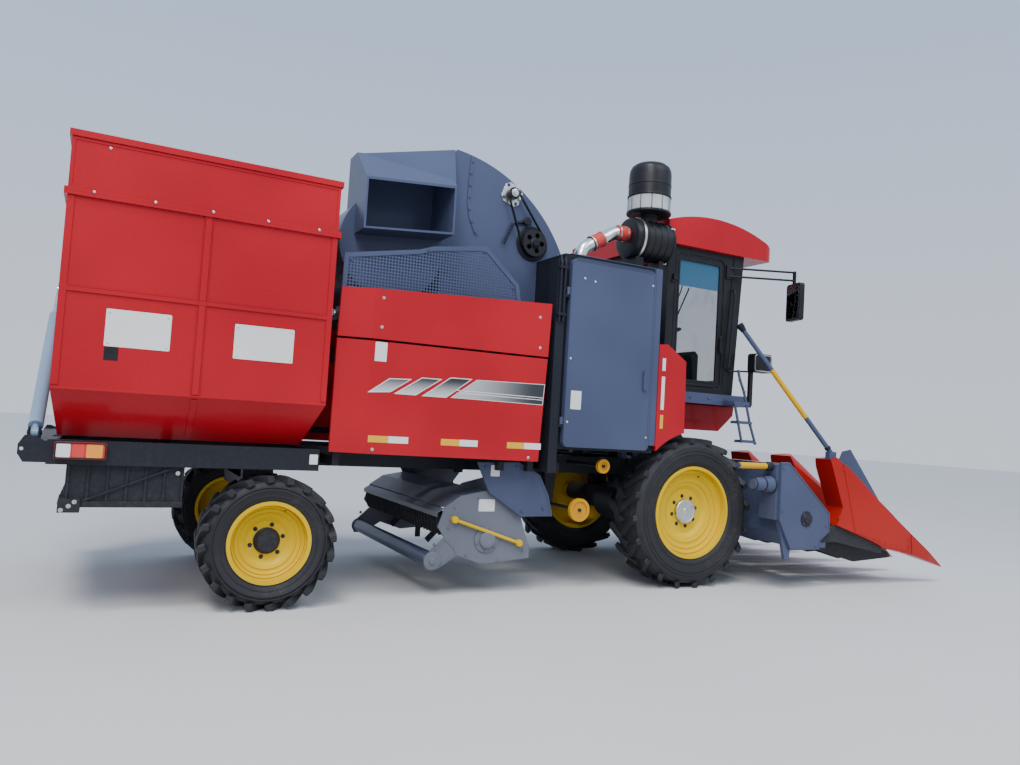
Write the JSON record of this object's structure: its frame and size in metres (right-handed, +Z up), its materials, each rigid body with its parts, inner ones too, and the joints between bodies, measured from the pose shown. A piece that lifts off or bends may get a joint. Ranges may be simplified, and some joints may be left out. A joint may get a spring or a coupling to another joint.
{
  "type": "self-propelled maize harvester",
  "caption": "Self-propelled maize harvester: header with pointed snouts, glazed cab, cob elevator, side-tipping bin, straw chopper and steered rear wheels.",
  "frame": {"origin": "on the ground, midway along the machine's length and on its centre line", "axes": "+X forward towards the header, +Y to the machine's left, +Z up"},
  "size_m": [8.2249, 2.9, 3.799],
  "materials": {
    "red": "gloss paint, slightly weathered",
    "snout_red": "gloss paint",
    "slate": "semi-gloss paint",
    "frame": "semi-gloss paint",
    "plate": "satin paint",
    "engine": "matte",
    "rim_yellow": "gloss paint",
    "tyre": "matte",
    "orange": "gloss paint",
    "pale_blue": "gloss paint",
    "rod": "polished",
    "black": "satin",
    "glass": "clear, slightly tinted",
    "lamp": "gloss",
    "seat": "woven"
  },
  "bodies": {
    "machine": {"main_rails": "frame", "bin_frame": "frame", "cross_beams": "frame", "tail_guard": "frame", "tail_lamps": "lamp", "engine": "engine", "front_axle": "frame", "rear_axle": "frame", "side_panels": "red", "body_guards": "slate", "side_frames": "frame", "cabinet": "frame", "fenders": "red", "elevator_leg": "slate", "elevator_head": "slate", "blower": "slate", "belt_drive": "black", "idler_pulleys": "orange", "air_intake": "black", "cab_frame": "black", "cab_roof": "red", "cab_glass": "glass", "cab_seat": "seat", "platform": "slate", "mirrors": "black"},
    "wheel_front_right": {"tyre_front_right": "tyre", "rim_front_right": "rim_yellow"},
    "wheel_front_left": {"tyre_front_left": "tyre", "rim_front_left": "rim_yellow"},
    "steer_right": {"knuckle_right": "plate"},
    "steer_left": {"knuckle_left": "plate"},
    "wheel_rear_right": {"tyre_rear_right": "tyre", "rim_rear_right": "rim_yellow"},
    "wheel_rear_left": {"tyre_rear_left": "tyre", "rim_rear_left": "rim_yellow"},
    "cob_bin": {"bin": "red", "bin_board": "red"},
    "tip_cylinder": {"tip_barrel": "pale_blue"},
    "tip_piston": {"tip_rod": "rod"},
    "header": {"header_frame": "slate", "header_posts": "slate", "snouts": "snout_red", "divider_plates": "slate", "row_units": "frame", "gather_chains": "plate", "feeder_house": "slate", "push_bars": "slate"},
    "auger": {"header_auger": "plate"},
    "lift_cylinders": {"lift_barrels": "frame"},
    "lift_pistons": {"lift_rods": "rod"},
    "chopper": {"chopper_housing": "plate"},
    "rotor": {"chopper_rotor": "frame"},
    "roller": {"gauge_roller": "slate"},
    "cab_access": {"cab_door": "black", "cab_door_glass": "glass"},
    "side_door_right": {"door_right": "slate"},
    "side_door_left": {"door_left": "slate"}
  },
  "joints": [
    {"name": "front_right_wheel_spin", "type": "hinge", "parent": "machine", "child": "wheel_front_right", "pos_m": [1.0495, -0.935, 0.662], "axis": [0, 1, 0], "continuous": true},
    {"name": "front_left_wheel_spin", "type": "hinge", "parent": "machine", "child": "wheel_front_left", "pos_m": [1.0495, 0.935, 0.662], "axis": [0, 1, 0], "continuous": true},
    {"name": "steer_right", "type": "hinge", "parent": "machine", "child": "steer_right", "pos_m": [-2.5925, -0.79, 0.452], "axis": [0, 0, 1], "range_deg": [-30, 30]},
    {"name": "steer_left", "type": "hinge", "parent": "machine", "child": "steer_left", "pos_m": [-2.5925, 0.79, 0.452], "axis": [0, 0, 1], "range_deg": [-30, 30]},
    {"name": "rear_right_wheel_spin", "type": "hinge", "parent": "steer_right", "child": "wheel_rear_right", "pos_m": [-2.5925, -0.973, 0.452], "axis": [0, 1, 0], "continuous": true},
    {"name": "rear_left_wheel_spin", "type": "hinge", "parent": "steer_left", "child": "wheel_rear_left", "pos_m": [-2.5925, 0.973, 0.452], "axis": [0, 1, 0], "continuous": true},
    {"name": "bin_tip", "type": "hinge", "parent": "machine", "child": "cob_bin", "pos_m": [-3.0925, 1.06, 1.19], "axis": [-1, 0, 0], "range_deg": [0, 50]},
    {"name": "tip_cylinder_swing", "type": "hinge", "parent": "machine", "child": "tip_cylinder", "pos_m": [-4.0125, -0.9, 1.12], "axis": [-1, 0, 0], "range_deg": [0, 12]},
    {"name": "tip_piston_slide", "type": "slide", "parent": "tip_cylinder", "child": "tip_piston", "axis": [0, 0.7849, 0.6196], "range_m": [0, 0.9]},
    {"name": "header_lift", "type": "hinge", "parent": "machine", "child": "header", "pos_m": [1.3875, 0, 1.33], "axis": [0, -1, 0], "range_deg": [0, 15]},
    {"name": "lift_cylinder_swing", "type": "hinge", "parent": "machine", "child": "lift_cylinders", "pos_m": [1.2075, 0, 0.64], "axis": [0, -1, 0], "range_deg": [0, 13]},
    {"name": "lift_piston_slide", "type": "slide", "parent": "lift_cylinders", "child": "lift_pistons", "axis": [0.9799, 0, -0.1996], "range_m": [0, 0.19]},
    {"name": "auger_spin", "type": "hinge", "parent": "header", "child": "auger", "pos_m": [2.0775, 0, 0.65], "axis": [0, 1, 0], "continuous": true},
    {"name": "chopper_lift", "type": "hinge", "parent": "machine", "child": "chopper", "pos_m": [-0.5425, 0, 0.89], "axis": [0, 1, 0], "range_deg": [0, 12]},
    {"name": "rotor_spin", "type": "hinge", "parent": "chopper", "child": "rotor", "pos_m": [-0.9025, 0, 0.43], "axis": [0, 1, 0], "continuous": true},
    {"name": "roller_spin", "type": "hinge", "parent": "chopper", "child": "roller", "pos_m": [-1.3525, 0, 0.275], "axis": [0, 1, 0], "continuous": true},
    {"name": "cab_door_hinge", "type": "hinge", "parent": "machine", "child": "cab_access", "pos_m": [0.9555, -0.802, 2.4], "axis": [0, 0, -1], "range_deg": [0, 85]},
    {"name": "side_door_right_hinge", "type": "hinge", "parent": "machine", "child": "side_door_right", "pos_m": [-0.4005, -1.15, 1.9], "axis": [0, 0, -1], "range_deg": [0, 95]},
    {"name": "side_door_left_hinge", "type": "hinge", "parent": "machine", "child": "side_door_left", "pos_m": [-0.4005, 1.15, 1.9], "axis": [0, 0, 1], "range_deg": [0, 95]}
  ],
  "couplings": [
    {"joint": "steer_left", "follows": "steer_right", "ratio": 1},
    {"joint": "tip_cylinder_swing", "follows": "bin_tip", "ratio": 0.22277},
    {"joint": "tip_piston_slide", "follows": "bin_tip", "m_per_rad": 1.0277},
    {"joint": "lift_cylinder_swing", "follows": "header_lift", "ratio": 0.82183},
    {"joint": "lift_piston_slide", "follows": "header_lift", "m_per_rad": 0.70196}
  ]
}
